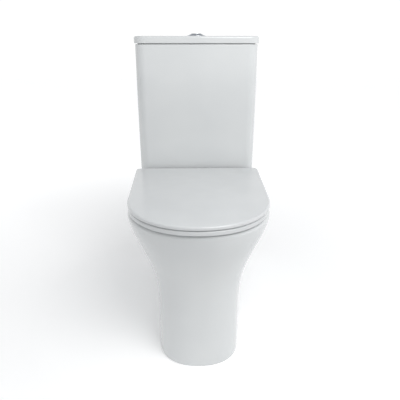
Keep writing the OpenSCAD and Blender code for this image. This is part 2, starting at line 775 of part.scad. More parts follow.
module inlet_shank() {
    color([0.93, 0.94, 0.95]) at_inlet(0) difference() {
        union() {
            translate([0, 0, shank_end]) cylinder(r = inlet_thread_r, h = floor_top + 5 - shank_end);
            translate([0, 0, floor_top + 2.5]) cylinder(r = 18, h = 5);
            translate([0, 0, floor_top + 5]) cylinder(r = riser_r, h = head_z - floor_top - 5);
        }
        translate([0, 0, shank_end - 1]) cylinder(r = 6, h = head_z - shank_end + 2);
        translate([0, 0, tank_z - 13]) ring_of(inlet_thread_r + 2, inlet_thread_r - 0.6, 2);
    }
}
module inlet_washer() { color([0.15, 0.15, 0.16]) at_inlet(floor_top) ring_of(17, inlet_thread_r, 2.5); }
module inlet_backnut() { color([0.93, 0.94, 0.95]) at_inlet(tank_z - 10) ring_of(18, inlet_thread_r, 10); }
module inlet_head() {
    color([0.35, 0.5, 0.75]) at_inlet(0) difference() {
        union() {
            translate([0, 0, head_z]) cylinder(r = head_r, h = head_h);
            for (s = [-1, 1]) translate([arm_pivot - 4 - 6, s * cheek_y - cheek_w / 2, head_z + head_h - 3])
                cube([10, cheek_w, arm_z + 5 - head_z - head_h + 3]);
        }
        translate([arm_pivot - 5, -15, arm_z]) rotate([-90, 0, 0]) cylinder(r = 1.5, h = 30);
    }
}
module inlet_float() {
    color([0.93, 0.94, 0.95]) at_inlet(float_z) difference() {
        cylinder(r = float_r, h = float_h);
        translate([0, 0, -1]) cylinder(r = float_r - 2, h = float_h - 3);
        translate([0, 0, -1]) cylinder(r = riser_r + 0.6, h = float_h + 2);
    }
}
arm_end = arm_pivot - 5 - arm_reach;
module float_rod() {
    color([0.9, 0.9, 0.88]) at_inlet(0) translate([arm_end, 0, float_z + float_h])
        cylinder(r = 2.2, h = arm_z - arm_half - 0.5 - float_z - float_h);
}
module float_arm() {
    color([0.9, 0.9, 0.88]) at_inlet(arm_z) difference() {
        union() {
            translate([arm_end - 4, -rocker_w / 2, -arm_half]) cube([arm_reach + 6, rocker_w, 2 * arm_half]);
            translate([arm_pivot - 5, -rocker_w / 2, 0]) rotate([-90, 0, 0]) cylinder(r = 4, h = rocker_w);
        }
        translate([arm_pivot - 5, -rocker_w, 0]) rotate([-90, 0, 0])
            cylinder(r = 1.5 + running, h = 2 * rocker_w);
    }
}
module arm_pin() {
    pin_w = rocker_w + 2 * (cheek_gap + cheek_w);
    color([0.7, 0.71, 0.73]) at_inlet(arm_z) translate([arm_pivot - 5, -pin_w / 2, 0])
        rotate([-90, 0, 0]) cylinder(r = 1.5, h = pin_w);
}

// ---- floor fixings ----
bracket_w = 40;
bracket_h = 70;
bracket_t = 4;
bracket_foot = 45;
skirt_half_here = side_half(foot_half, foot_rear_half, foot_middle, side_screw_d + bracket_w / 2);
bracket_x = floor(skirt_half_here - skirt_wall - 1);
floor_hole_x = bracket_x - 25;
module floor_brackets() {
    color([0.75, 0.76, 0.78]) for (s = [-1, 1]) mirror([s < 0 ? 1 : 0, 0, 0]) difference() {
        union() {
            translate([bracket_x - bracket_foot, wall(side_screw_d + bracket_w / 2), 0])
                cube([bracket_foot, bracket_w, bracket_t]);
            translate([bracket_x - bracket_t, wall(side_screw_d + bracket_w / 2), 0])
                cube([bracket_t, bracket_w, bracket_h]);
        }
        translate([floor_hole_x, wall(side_screw_d), -1]) cylinder(r = 3.5, h = bracket_t + 2);
        translate([bracket_x - bracket_t - 1, wall(side_screw_d), side_screw_z]) rotate([0, 90, 0])
            cylinder(r = side_screw_r, h = bracket_t + 2);
    }
}
screw_head_x = side_half(foot_half, foot_rear_half, foot_middle, side_screw_d - 9) + 0.5;
module side_screws() {
    color([0.75, 0.76, 0.78]) for (s = [-1, 1]) mirror([s < 0 ? 1 : 0, 0, 0])
        translate([0, wall(side_screw_d), side_screw_z]) rotate([0, 90, 0]) {
            translate([0, 0, bracket_x - 12]) cylinder(r = side_screw_r, h = screw_head_x - bracket_x + 12);
            translate([0, 0, screw_head_x]) cylinder(r = 7, h = 2.5);
        }
}
module screw_caps() {
    color([0.95, 0.96, 0.96]) for (s = [-1, 1]) mirror([s < 0 ? 1 : 0, 0, 0])
        translate([0, wall(side_screw_d), side_screw_z]) rotate([0, 90, 0]) difference() {
            translate([0, 0, screw_head_x]) cylinder(r = 8.5, h = 4.5);
            translate([0, 0, screw_head_x - 1]) cylinder(r = 7, h = 3.5);
        }
}

pan_skirt();
pan_rim();
pan_bowl();
pan_sump();
pan_flush_duct();
pan_trapway();
cistern();
cistern_lid();
seat_ring();
seat_lid();
ring_buffers();
lid_buffers();
hinge_posts();
hinge_pins();
ring_dampers();
lid_dampers();
hinge_studs();
hinge_bushes();
hinge_nuts();
button_housing();
housing_nut();
full_button();
half_button();
full_rod();
half_rod();
full_spring();
half_spring();
flush_valve_base();
flush_valve_tower();
flush_seat_washer();
flush_backnut();
coupling_gasket();
overflow_tube();
flush_seal();
flush_rocker();
rocker_pin();
coupling_bolts();
bolt_seals();
bolt_washers();
wing_nuts();
inlet_shank();
inlet_washer();
inlet_backnut();
inlet_head();
inlet_float();
float_rod();
float_arm();
arm_pin();
floor_brackets();
side_screws();
screw_caps();
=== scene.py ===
import math

import bmesh
import bpy
from mathutils import Matrix, Vector


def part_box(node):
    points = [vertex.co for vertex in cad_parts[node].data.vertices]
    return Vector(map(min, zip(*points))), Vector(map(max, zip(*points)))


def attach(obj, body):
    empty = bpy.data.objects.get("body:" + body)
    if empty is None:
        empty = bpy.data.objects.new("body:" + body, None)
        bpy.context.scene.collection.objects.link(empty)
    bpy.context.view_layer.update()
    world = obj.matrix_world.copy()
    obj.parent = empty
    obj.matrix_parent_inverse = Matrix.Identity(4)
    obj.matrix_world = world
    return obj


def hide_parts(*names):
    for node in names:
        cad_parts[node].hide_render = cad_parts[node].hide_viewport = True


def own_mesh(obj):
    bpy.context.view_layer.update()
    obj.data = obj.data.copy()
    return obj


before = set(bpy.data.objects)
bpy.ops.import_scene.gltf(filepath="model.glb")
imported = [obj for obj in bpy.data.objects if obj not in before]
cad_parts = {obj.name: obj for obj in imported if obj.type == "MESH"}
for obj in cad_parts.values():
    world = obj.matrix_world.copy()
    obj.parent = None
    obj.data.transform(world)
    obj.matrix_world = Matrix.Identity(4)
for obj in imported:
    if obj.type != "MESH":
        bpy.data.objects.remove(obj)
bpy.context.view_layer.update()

# ---- pan ----
# One hollow casting of vitreous china: a straight foot that flares out to the rim, an open
# bowl, and a trapway that climbs behind it and drops to the outlet. It is slip cast in
# plaster moulds, its joins are sponged round, and it is glazed white all over and fired.
rim_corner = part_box("pan_rim")[1]
wall_y = rim_corner.y
rim_z = rim_corner.z
foot_half = 0.1075
foot_rear_half = 0.138
foot_front = 0.556
foot_middle = 0.448
foot_power = 2.35
foot_edge = 0.003
rim_half = 0.1815
rim_rear_half = 0.184
rim_front = 0.612
rim_middle = 0.425
rim_power = 2.15
rim_edge = 0.012
flare_low = 0.130
flare_high = 0.408
skirt_wall = 0.013
deck_thick = 0.017
bowl_wall = 0.011
bowl_half = 0.133
bowl_rear = 0.247
bowl_front = 0.560
bowl_power = 2.2
bowl_lip = 0.009
sump_z = 0.068
sump_half = 0.040
sump_middle = 0.392
sump_round = 0.024
sump_pipe_z = 0.104
weir_z = 0.222
outlet_z = 0.180
outlet_r = 0.051
outlet_wall = 0.007
outlet_end = 0.045
trap_start = 0.400
trap_rise = 0.352
trap_weir = 0.216
trap_level = 0.122
trap_r = 0.034
duct_half = 0.060
duct_z = 0.330
duct_wall = 0.011
duct_back = 0.040
duct_round = 0.006
cavity_round = 0.006
inlet_x = 0.102
notch_half = 0.020
notch_d = 0.078
notch_round = 0.004
valve_d = 0.085
inlet_hole_r = 0.035
coupling_x = 0.074
hinge_x = 0.0775
post_d = 0.196
side_screw_d = 0.120
side_screw_z = 0.045
screw_hole_r = 0.0045
glaze_bright = (0.612, 0.627, 0.630, 1)
glaze_soft = (0.588, 0.604, 0.610, 1)
bisque_light = (0.66, 0.655, 0.63, 1)
bisque_dark = (0.58, 0.57, 0.54, 1)


def mix(a, b, share):
    return a + (b - a) * share


def clamp(share):
    return min(max(share, 0), 1)


def ease(share):
    return share * share * (3 - 2 * share)


def squared(t, power):
    return math.copysign(abs(t) ** (2 / power), t)


def at(x, d, z):
    """A point at distance d from the room's wall."""
    return Vector((x, wall_y - d, z))


def skin(name, rings, closed=False):
    """A solid skinned over rings of equal length, capped at both ends or joined end to end."""
    mesh = bmesh.new()
    rows = [[mesh.verts.new(point) for point in ring] for ring in rings]
    pairs = list(zip(rows, rows[1:])) + ([(rows[-1], rows[0])] if closed else [])
    for low, high in pairs:
        for i in range(len(low)):
            j = (i + 1) % len(low)
            mesh.faces.new((low[i], low[j], high[j], high[i]))
    if not closed:
        mesh.faces.new(rows[0])
        mesh.faces.new(rows[-1])
    bmesh.ops.recalc_face_normals(mesh, faces=mesh.faces)
    data = bpy.data.meshes.new(name)
    mesh.to_mesh(data)
    mesh.free()
    piece = bpy.data.objects.new(name, data)
    bpy.context.collection.objects.link(piece)
    return piece


facing = {"X": Matrix.Rotation(math.radians(90), 4, "Y"),
          "Y": Matrix.Rotation(math.radians(-90), 4, "X"),
          "Z": Matrix.Identity(4)}


def turned(name, profile, place, toward="Z", steps=64, closed=False):
    """A round piece: profile lists (radius, height) along the axis that starts at place."""
    turn = [2 * math.pi * i / steps for i in range(steps)]
    rings = [[Vector((r * math.cos(a), r * math.sin(a), h)) for a in turn] for r, h in profile]
    piece = skin(name, rings, closed)
    piece.data.transform(Matrix.Translation(place) @ facing[toward])
    return piece


def block(name, low, high, edge=0.0):
    """A rectangular block with its edges rounded."""
    mesh = bmesh.new()
    bmesh.ops.create_cube(mesh, size=1)
    size = Vector(high) - Vector(low)
    for vert in mesh.verts:
        vert.co = Vector(a * b for a, b in zip(vert.co, size)) + (Vector(low) + Vector(high)) / 2
    if edge:
        bmesh.ops.bevel(mesh, geom=mesh.edges[:], offset=edge, segments=3, profile=0.5, affect="EDGES")
    data = bpy.data.meshes.new(name)
    mesh.to_mesh(data)
    mesh.free()
    piece = bpy.data.objects.new(name, data)
    bpy.context.collection.objects.link(piece)
    return piece


def settle(piece):
    """Makes the piece's modifiers part of its mesh."""
    shown = piece.evaluated_get(bpy.context.evaluated_depsgraph_get())
    done = bpy.data.meshes.new_from_object(shown)
    piece.modifiers.clear()
    piece.data = done


def carve(piece, how, *tools):
    """Joins the tools to the piece, or cuts them out of it, one by one."""
    for tool in tools:
        step = piece.modifiers.new("carve", "BOOLEAN")
        step.operation = how
        step.solver = "MANIFOLD"
        step.object = tool
        settle(piece)
        bpy.data.objects.remove(tool)
    return piece


def polish(piece, angle=35):
    """Smooth shading, with edges sharper than the angle kept crisp and flats kept flat."""
    piece.data.shade_smooth()
    piece.data.set_sharp_from_angle(angle=math.radians(angle))
    weighted = piece.modifiers.new("flats", "WEIGHTED_NORMAL")
    weighted.keep_sharp = True
    settle(piece)


def new_finish(name):
    """A new material: the material, its nodes, its shader, and the place on the piece."""
    finish = bpy.data.materials.new(name)
    finish.use_nodes = True
    tree = finish.node_tree
    place = tree.nodes.new("ShaderNodeTexCoord").outputs["Object"]
    return finish, tree, tree.nodes["Principled BSDF"], place


def cloud(tree, place, size, detail=2.0):
    """Soft mottling with spots about size metres across."""
    node = tree.nodes.new("ShaderNodeTexNoise")
    node.inputs["Scale"].default_value = 1 / size
    node.inputs["Detail"].default_value = detail
    tree.links.new(place, node.inputs["Vector"])
    return node.outputs["Fac"]


def tint(tree, amount, one, other, low=0.35, high=0.65):
    """A colour between one and other, by amount."""
    node = tree.nodes.new("ShaderNodeValToRGB")
    for end, colour, where in zip(node.color_ramp.elements, (one, other), (low, high)):
        end.color = colour
        end.position = where
    tree.links.new(amount, node.inputs["Fac"])
    return node.outputs["Color"]


def span(tree, amount, one, other, low=0.3, high=0.7):
    """A number between one and other, by amount."""
    node = tree.nodes.new("ShaderNodeMapRange")
    for socket, value in zip(node.inputs[1:5], (low, high, one, other)):
        socket.default_value = value
    tree.links.new(amount, node.inputs["Value"])
    return node.outputs["Result"]


def raised(tree, height, depth, under=None):
    """A surface raised by up to depth metres where height is 1."""
    node = tree.nodes.new("ShaderNodeBump")
    node.inputs["Distance"].default_value = depth
    tree.links.new(height, node.inputs["Height"])
    if under is not None:
        tree.links.new(under, node.inputs["Normal"])
    return node.outputs["Normal"]


def lay(tree, shader, colour=None, rough=None, normal=None):
    for name, value in (("Base Color", colour), ("Roughness", rough), ("Normal", normal)):
        if value is not None:
            tree.links.new(value, shader.inputs[name])


# White glaze: it pools a little unevenly, so the gloss and the surface roll slightly.
glazed_china, tree, glaze, place = new_finish("glazed_china")
glaze_roll = raised(tree, cloud(tree, place, 0.034, 1), 0.00016)
lay(tree, glaze, tint(tree, cloud(tree, place, 0.16), glaze_soft, glaze_bright),
    span(tree, cloud(tree, place, 0.05), 0.09, 0.15),
    raised(tree, cloud(tree, place, 0.0012, 1), 0.000004, glaze_roll))
glaze.inputs["IOR"].default_value = 1.52
glaze.inputs["Coat Weight"].default_value = 0.3
glaze.inputs["Coat Roughness"].default_value = 0.04

# Inside the foot the glaze is thin and dry over the fired body.
thin_china, tree, body, place = new_finish("thin_glazed_china")
lay(tree, body, tint(tree, cloud(tree, place, 0.03, 5), bisque_dark, bisque_light),
    span(tree, cloud(tree, place, 0.012, 4), 0.45, 0.75),
    raised(tree, cloud(tree, place, 0.004, 4), 0.0003))


def flare(z):
    """How far the outline has gone from the foot's (0) to the rim's (1) at height z."""
    return ease(clamp((z - flare_low) / (flare_high - flare_low)) ** 1.6)


def pan_ring(z, inset, back, side_steps, front_steps):
    """The pan's outline at height z, open at the wall, drawn in by inset."""
    share = flare(z)
    half = mix(foot_half, rim_half, share)
    rear = mix(foot_rear_half, rim_rear_half, share)
    middle = mix(foot_middle, rim_middle, share)
    reach = mix(foot_front, rim_front, share) - middle
    power = mix(foot_power, rim_power, share)
    side = []
    for i in range(side_steps):
        d = mix(back, middle, i / side_steps)
        side.append((half + (rear - half) * ((middle - max(d, 0)) / middle) ** 1.5 - inset, d))
    front = []
    for i in range(front_steps + 1):
        angle = math.pi * (0.5 - i / front_steps)
        front.append(((half - inset) * squared(math.sin(angle), power),
                      middle + (reach - inset) * squared(math.cos(angle), power)))
    return [at(x, d, z) for x, d in side + front + [(-x, d) for x, d in reversed(side)]]


def quarter(low, high, steps):
    """Angles in radians over a rounded edge, from low to high degrees."""
    return [math.radians(mix(low, high, i / steps)) for i in range(steps + 1)]


def rounded(r, low, high, steps):
    """Steps round an edge of radius r: how far is left to go one way, and gone the other."""
    return [(r * (1 - math.sin(a)), r * (1 - math.cos(a))) for a in quarter(low, high, steps)]


skirt = rounded(foot_edge, 0, 90, 4)
skirt += [(0, mix(foot_edge, flare_low, i / 6)) for i in range(1, 7)]
skirt += [(0, mix(flare_low, rim_z - rim_edge, i / 48)) for i in range(1, 49)]
skirt += [(gone, rim_z - left) for left, gone in rounded(rim_edge, 9, 90, 9)]
pan = skin("pan_casting", [pan_ring(z, inset, 0, 26, 150) for inset, z in skirt])


def bowl_ring(z, low, grow, steps=120):
    """The bowl's outline at height z, for a bowl whose lowest point is at low."""
    share = (1 - clamp((rim_z - z) / (rim_z - low)) ** 1.6) ** 1.15
    half = mix(sump_half, bowl_half, share) + grow
    reach = mix(sump_half, (bowl_front - bowl_rear) / 2, share) + grow
    middle = mix(sump_middle, (bowl_rear + bowl_front) / 2, share)
    ring = []
    for i in range(steps):
        angle = 2 * math.pi * i / steps
        ring.append(at(half * squared(math.sin(angle), bowl_power),
                       middle + reach * squared(math.cos(angle), bowl_power), z))
    return ring


def trap_height(d):
    """The height of the trapway's middle line: up from the sump, over the weir, down to the outlet."""
    if d > trap_weir:
        return mix(sump_pipe_z, weir_z, ease(clamp((trap_rise - d) / (trap_rise - trap_weir))))
    return mix(weir_z, outlet_z, ease(clamp((trap_weir - d) / (trap_weir - trap_level))))


def trap_ring(d, grow, steps=48):
    """A ring square to the trapway's middle line."""
    slope = (trap_height(d - 0.001) - trap_height(d + 0.001)) / 0.002
    tilt = math.atan(slope)
    widen = clamp((trap_weir - d) / (trap_weir - trap_level))
    r = mix(trap_r, outlet_r - outlet_wall - 0.001, widen) + grow
    turn = [2 * math.pi * i / steps for i in range(steps)]
    return [at(r * math.cos(a), d + r * math.sin(a) * math.sin(tilt),
               trap_height(d) + r * math.sin(a) * math.cos(tilt)) for a in turn]


def sump_inset(z):
    """How far the bowl's wall is drawn in where it rounds into the sump's floor."""
    return 0.8 * sump_round * (1 - math.sqrt(1 - clamp(1 - (z - sump_z) / sump_round) ** 2))


def thin_glazed(tool):
    """The faces that this piece leaves on the casting take the thin glaze."""
    for face in tool.data.polygons:
        face.material_index = 1
    return tool


def hole(x, d, low, high, r, lip=0.0015):
    """A drilled hole with its top edge rounded."""
    mouth = [(r + lip * (1 - math.cos(a)), high - lip + lip * math.sin(a)) for a in quarter(0, 80, 4)]
    return turned("hole", [(r, low)] + mouth + [(r + lip, high + 0.004)], at(x, d, 0), steps=40)


pan.data.materials.append(glazed_china)
pan.data.materials.append(thin_china)
trap_line = [mix(trap_start, trap_level, i / 40) for i in range(41)]
cavity_top = rim_z - deck_thick
cavity_z = [-0.001] + [mix(flare_low, cavity_top - cavity_round, i / 22) for i in range(23)]
cavity = [pan_ring(z, skirt_wall, -0.002, 14, 80) for z in cavity_z]
cavity += [pan_ring(cavity_top - left, skirt_wall + gone, -0.002, 14, 80)
           for left, gone in rounded(cavity_round, 22, 90, 4)]
bowl_z = [mix(sump_z - bowl_wall, rim_z - 0.003, 1 - math.cos(math.radians(90 * i / 26))) for i in range(27)]
bowl_shell = skin("bowl_shell", [bowl_ring(z, sump_z - bowl_wall, bowl_wall) for z in bowl_z])
duct = block("duct", at(-duct_half, bowl_rear + 0.020, duct_z), at(duct_half, duct_back, rim_z - 0.005),
             duct_round)
trap_shell = skin("trap_shell", [trap_ring(d, outlet_wall) for d in trap_line])
spigot_start = trap_level + 0.002
spigot_len = spigot_start - outlet_end
spigot = turned("spigot", [(outlet_r, 0), (outlet_r, spigot_len - 0.005),
                           (outlet_r - 0.0015, spigot_len - 0.0015), (outlet_r - 0.003, spigot_len)],
                at(0, spigot_start, outlet_z), "Y", 72)
carve(pan, "DIFFERENCE", thin_glazed(skin("cavity", cavity)))
carve(pan, "UNION", thin_glazed(bowl_shell), thin_glazed(trap_shell), thin_glazed(duct), thin_glazed(spigot))
bowl_z = [mix(sump_z, rim_z - bowl_lip, 1 - math.cos(math.radians(90 * i / 44))) for i in range(45)]
bowl = [bowl_ring(z, sump_z, -sump_inset(z)) for z in bowl_z]
bowl += [bowl_ring(rim_z - bowl_lip + bowl_lip * math.sin(a), sump_z, bowl_lip * (1 - math.cos(a)))
         for a in quarter(9, 81, 8)]
bowl += [bowl_ring(rim_z + 0.002, sump_z, bowl_lip + 0.006)]
trap_bore = skin("trap_bore", [trap_ring(d, 0) for d in trap_line + [trap_level - 0.003]])
spigot_bore = turned("spigot_bore", [(outlet_r - outlet_wall, 0), (outlet_r - outlet_wall, 0.090)],
                     at(0, trap_level - 0.004, outlet_z), "Y", 72)
duct_bore = block("duct_bore", at(-duct_half + duct_wall, bowl_rear + 0.024, duct_z + duct_wall),
                  at(duct_half - duct_wall, duct_back + duct_wall, cavity_top - 0.006), 0.005)
notches = [block("notch", at(x - notch_half, notch_d, duct_z), at(x + notch_half, -0.002, rim_z + 0.001),
                 notch_round) for x in (-inlet_x, inlet_x)]
holes = [hole(0, valve_d, cavity_top - 0.010, rim_z, inlet_hole_r)]
holes += [hole(x, valve_d, cavity_top - 0.001, rim_z, 0.0065) for x in (-coupling_x, coupling_x)]
holes += [hole(x, post_d, cavity_top - 0.001, rim_z, 0.007) for x in (-hinge_x, hinge_x)]
screw_bore = turned("screw_bore", [(screw_hole_r, 0), (screw_hole_r, 2 * rim_half)],
                    at(-rim_half, side_screw_d, side_screw_z), "X", 32)
carve(pan, "DIFFERENCE", skin("bowl", bowl), trap_bore, spigot_bore, duct_bore, *notches, *holes, screw_bore)
polish(pan, 40)
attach(pan, "root")
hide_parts("pan_skirt", "pan_rim", "pan_bowl", "pan_sump", "pan_flush_duct", "pan_trapway")

# ---- floor fixings ----
# Two steel angle brackets screwed to the floor inside the foot. A screw through each side
# of the china holds the pan to its bracket, and a glossy cap snaps over the screw's head.
caps_low, caps_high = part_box("screw_caps")
cap_r = (caps_high.z - caps_low.z) / 2
cap_seat = 0.0045
zinc_bright = (0.62, 0.64, 0.66, 1)
zinc_dull = (0.46, 0.48, 0.51, 1)

# Zinc plate is a patchwork of dull and bright grains, faintly scratched.
zinc_steel, tree, metal, place = new_finish("zinc_steel")
grains = tree.nodes.new("ShaderNodeTexVoronoi")
grains.inputs["Scale"].default_value = 260
tree.links.new(place, grains.inputs["Vector"])
lay(tree, metal, tint(tree, grains.outputs["Color"], zinc_dull, zinc_bright, 0.2, 0.8),
    span(tree, cloud(tree, place, 0.006, 4), 0.28, 0.5),
    raised(tree, cloud(tree, place, 0.0015, 3), 0.00003))
metal.inputs["Metallic"].default_value = 1


def dress(finish, *nodes):
    """Gives design parts that keep their own shape their finish."""
    for node in nodes:
        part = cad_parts[node]
        for holder in part.material_slots:
            holder.material = finish


def gather(name, pieces):
    """Several like pieces as one."""
    whole = bmesh.new()
    for piece in pieces:
        whole.from_mesh(piece.data)
        bpy.data.objects.remove(piece)
    data = bpy.data.meshes.new(name)
    whole.to_mesh(data)
    whole.free()
    joined = bpy.data.objects.new(name, data)
    bpy.context.collection.objects.link(joined)
    return joined


def handed_over(piece, finish, body, node, angle=35):
    """Finishes a piece and puts it in the place of its design part."""
    piece.data.materials.clear()
    piece.data.materials.append(finish)
    polish(piece, angle)
    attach(piece, body)
    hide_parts(node)


dress(zinc_steel, "floor_brackets", "side_screws")
dome = [(0.0072, 0.0005), (0.0072, 0), (cap_r - 0.0004, 0), (cap_r, 0.0004), (cap_r, 0.0012)]
dome += [(cap_r * math.cos(a), 0.0012 + (cap_seat - 0.0012) * math.sin(a)) for a in quarter(8, 86, 10)]


def screw_cap(mirrored):
    """The cap on the pan's right side, or its mirror image on the left."""
    cap_middle = (caps_low.y + caps_high.y) / 2
    cap = turned("cap", dome, Vector((caps_high.x - cap_seat, cap_middle, side_screw_z)), "X", 40)
    if mirrored:
        cap.data.transform(Matrix.Scale(-1, 4, Vector((1, 0, 0))))
        cap.data.flip_normals()
    return cap


screw_caps = gather("screw_cap_pair", [screw_cap(False), screw_cap(True)])
handed_over(screw_caps, glazed_china, "root", "screw_caps")

# ---- close coupling ----
# A thick foam rubber ring seals the cistern to the pan round the flush hole, and two long
# zinc plated bolts with rubber seals, steel washers and wing nuts draw the two together.
gasket_low, gasket_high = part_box("coupling_gasket")
gasket_r = (gasket_high.x - gasket_low.x) / 2
gasket_hole = 0.041
gasket_bulge = 0.0018
rubber_dark = (0.018, 0.018, 0.020, 1)
rubber_worn = (0.045, 0.045, 0.047, 1)

rubber, tree, foam, place = new_finish("rubber")
pores = tree.nodes.new("ShaderNodeTexVoronoi")
pores.inputs["Scale"].default_value = 900
tree.links.new(place, pores.inputs["Vector"])
lay(tree, foam, tint(tree, cloud(tree, place, 0.01, 4), rubber_dark, rubber_worn),
    span(tree, cloud(tree, place, 0.004, 3), 0.6, 0.85),
    raised(tree, pores.outputs["Distance"], 0.0003))

tall = gasket_high.z - gasket_low.z
ring = [(gasket_r - 0.001 + gasket_bulge * math.cos(a), tall * (0.5 + 0.5 * math.sin(a)))
        for a in quarter(-90, 90, 12)]
ring += [(gasket_hole + 0.001 - gasket_bulge * math.cos(a), tall * (0.5 + 0.5 * math.sin(a)))
         for a in quarter(90, -90, 12)]
gasket = turned("foam_gasket", ring, at(0, valve_d, gasket_low.z), steps=96, closed=True)
handed_over(gasket, rubber, "root", "coupling_gasket", 60)
dress(rubber, "bolt_seals")
dress(zinc_steel, "coupling_bolts", "bolt_washers", "wing_nuts")

# ---- cistern ----
# A tall open box of vitreous china with round corners, cast with walls that swell very
# slightly, glazed inside and out. It stands on the pan's deck, just clear of the wall.
tank_low, tank_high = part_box("cistern")
tank_half = tank_high.x
tank_back = wall_y - tank_high.y
tank_front = wall_y - tank_low.y
tank_corner = 0.030
tank_back_corner = 0.012
tank_wall = 0.009
tank_floor = 0.012
tank_foot_round = 0.007
top_edge = 0.0025
tank_crown = 0.0012
floor_round = 0.012
wall_hole_x = 0.120
wall_hole_z = 0.740
wall_hole_r = 0.004
inlet_d = 0.058


def plan(half, back, front, front_r, back_r, z, inset=0.0, crown=0.0):
    """A ring with round corners, its front and sides bowed out by crown."""
    half, back, front = half - inset, back + inset, front - inset
    front_r, back_r = max(front_r - inset, 0.001), max(back_r - inset, 0.001)
    corners = [(half - front_r, front - front_r, front_r, 12), (front_r - half, front - front_r, front_r, 12),
               (back_r - half, back + back_r, back_r, 8), (half - back_r, back + back_r, back_r, 8)]
    arcs = [[(x + r * math.cos(a), d + r * math.sin(a)) for a in quarter(90 * turn, 90 * turn + 90, steps)]
            for turn, (x, d, r, steps) in enumerate(corners)]
    outline = []
    for turn, arc in enumerate(arcs):
        (from_x, from_d), (to_x, to_d) = arcs[turn - 1][-1], arc[0]
        steps = 24 if turn % 2 else 8
        outline += [(mix(from_x, to_x, i / steps), mix(from_d, to_d, i / steps)) for i in range(steps)]
        outline += arc[:-1]
    centre = (back + front) / 2
    bowed = []
    for x, d in outline:
        across = x / half
        along = 2 * (d - centre) / (front - back)
        bowed.append(at(x + crown * across * (1 - along ** 2),
                        d + crown * max(along, 0) * (1 - across ** 2), z))
    return bowed


def tank_ring(z, inset=0.0):
    share = clamp((z - tank_low.z) / (tank_high.z - tank_low.z))
    return plan(tank_half, tank_back, tank_front, tank_corner, tank_back_corner, z, inset,
                tank_crown * math.sin(math.pi * share))


def tank_inside(z, inset=0.0):
    return plan(tank_half - tank_wall, tank_back + tank_wall, tank_front - tank_wall,
                tank_corner - tank_wall, 0.008, z, inset)


floor_top = tank_low.z + tank_floor
tank = [tank_ring(tank_low.z + gone, left) for left, gone in rounded(tank_foot_round, 0, 90, 7)]
tank += [tank_ring(mix(tank_low.z + tank_foot_round, tank_high.z - top_edge, i / 24)) for i in range(1, 25)]
tank += [tank_ring(tank_high.z - left, gone) for left, gone in rounded(top_edge, 15, 90, 5)]
tank += [tank_inside(tank_high.z - left, -gone) for left, gone in rounded(top_edge, 90, 0, 5)]
tank += [tank_inside(floor_top + floor_round)]
tank += [tank_inside(floor_top + left, gone) for left, gone in rounded(floor_round, 15, 90, 5)]
cistern = skin("cistern_casting", tank)
holes = [hole(x, d, tank_low.z - 0.001, floor_top, r)
         for x, d, r in ((0, valve_d, 0.0315), (inlet_x, inlet_d, 0.012),
                         (-coupling_x, valve_d, 0.0055), (coupling_x, valve_d, 0.0055))]
holes += [turned("hole", [(wall_hole_r, 0), (wall_hole_r, tank_wall + 0.004)],
                 at(x, tank_back + tank_wall + 0.002, wall_hole_z), "Y", 32)
          for x in (-wall_hole_x, wall_hole_x)]
carve(cistern, "DIFFERENCE", *holes)
handed_over(cistern, glazed_china, "root", "cistern", 40)

# ---- flush valve ----
# A moulded dual flush valve stands in the cistern's flush hole: a cage held by a backnut
# under the floor, a blue tower, and a lifting overflow tube with a silicone seal.
white_plastic_light = (0.80, 0.81, 0.80, 1)
white_plastic_dull = (0.74, 0.75, 0.735, 1)
blue_light = (0.075, 0.20, 0.52, 1)
blue_deep = (0.055, 0.155, 0.43, 1)
silicone_light = (0.50, 0.075, 0.045, 1)
silicone_deep = (0.38, 0.05, 0.03, 1)


def moulded(name, one, other, rough, grain=0.0009):
    """Moulded plastic: slight flow marks, a fine spark-eroded grain and an uneven gloss."""
    finish, tree, shader, place = new_finish(name)
    flow = raised(tree, cloud(tree, place, 0.018, 2), 0.00012)
    lay(tree, shader, tint(tree, cloud(tree, place, 0.025, 3), one, other),
        span(tree, cloud(tree, place, 0.008, 4), rough - 0.07, rough + 0.07),
        raised(tree, cloud(tree, place, grain, 2), 0.00003, flow))
    return finish


valve_plastic = moulded("valve_plastic", white_plastic_dull, white_plastic_light, 0.42)
blue_plastic = moulded("blue_plastic", blue_deep, blue_light, 0.38)
seal_rubber = moulded("seal_rubber", silicone_deep, silicone_light, 0.5)
dress(valve_plastic, "flush_valve_base", "flush_backnut", "overflow_tube", "flush_rocker")
dress(blue_plastic, "flush_valve_tower")
dress(rubber, "flush_seat_washer")
dress(seal_rubber, "flush_seal")
dress(zinc_steel, "rocker_pin")

# ---- inlet valve ----
# A bottom entry float valve: its threaded shank passes through the cistern's floor into a
# backnut, and a cup float on the riser works the arm of the blue valve head.
dress(valve_plastic, "inlet_shank", "inlet_backnut", "inlet_float", "float_rod", "float_arm")
dress(blue_plastic, "inlet_head")
dress(rubber, "inlet_washer")
dress(zinc_steel, "arm_pin")

# ---- cistern lid ----
# A china slab with well rounded edges and a lip underneath that drops inside the cistern.
# It rests on a small step, which leaves a thin shadow line, and lifts straight off.
lid_low, lid_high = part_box("cistern_lid")
lid_half = lid_high.x
lid_back = wall_y - lid_high.y
lid_front = wall_y - lid_low.y
slab_z = lid_high.z - 0.020
lid_corner = 0.032
lid_edge = 0.0065
under_lid_edge = 0.0015
lid_step = 0.010
lip_gap = 0.0025
lip_wall = 0.005
lip_corner = 0.020
lip_back_corner = 0.008
lid_plate = 0.009
sleeve_r = 0.018


def lid_ring(z, inset=0.0):
    return plan(lid_half, lid_back, lid_front, lid_corner, tank_back_corner, z, inset)


def lip_ring(z, inset=0.0):
    inwards = tank_wall + lip_gap
    return plan(tank_half - inwards, tank_back + inwards, tank_front - inwards,
                lip_corner, lip_back_corner, z, inset)


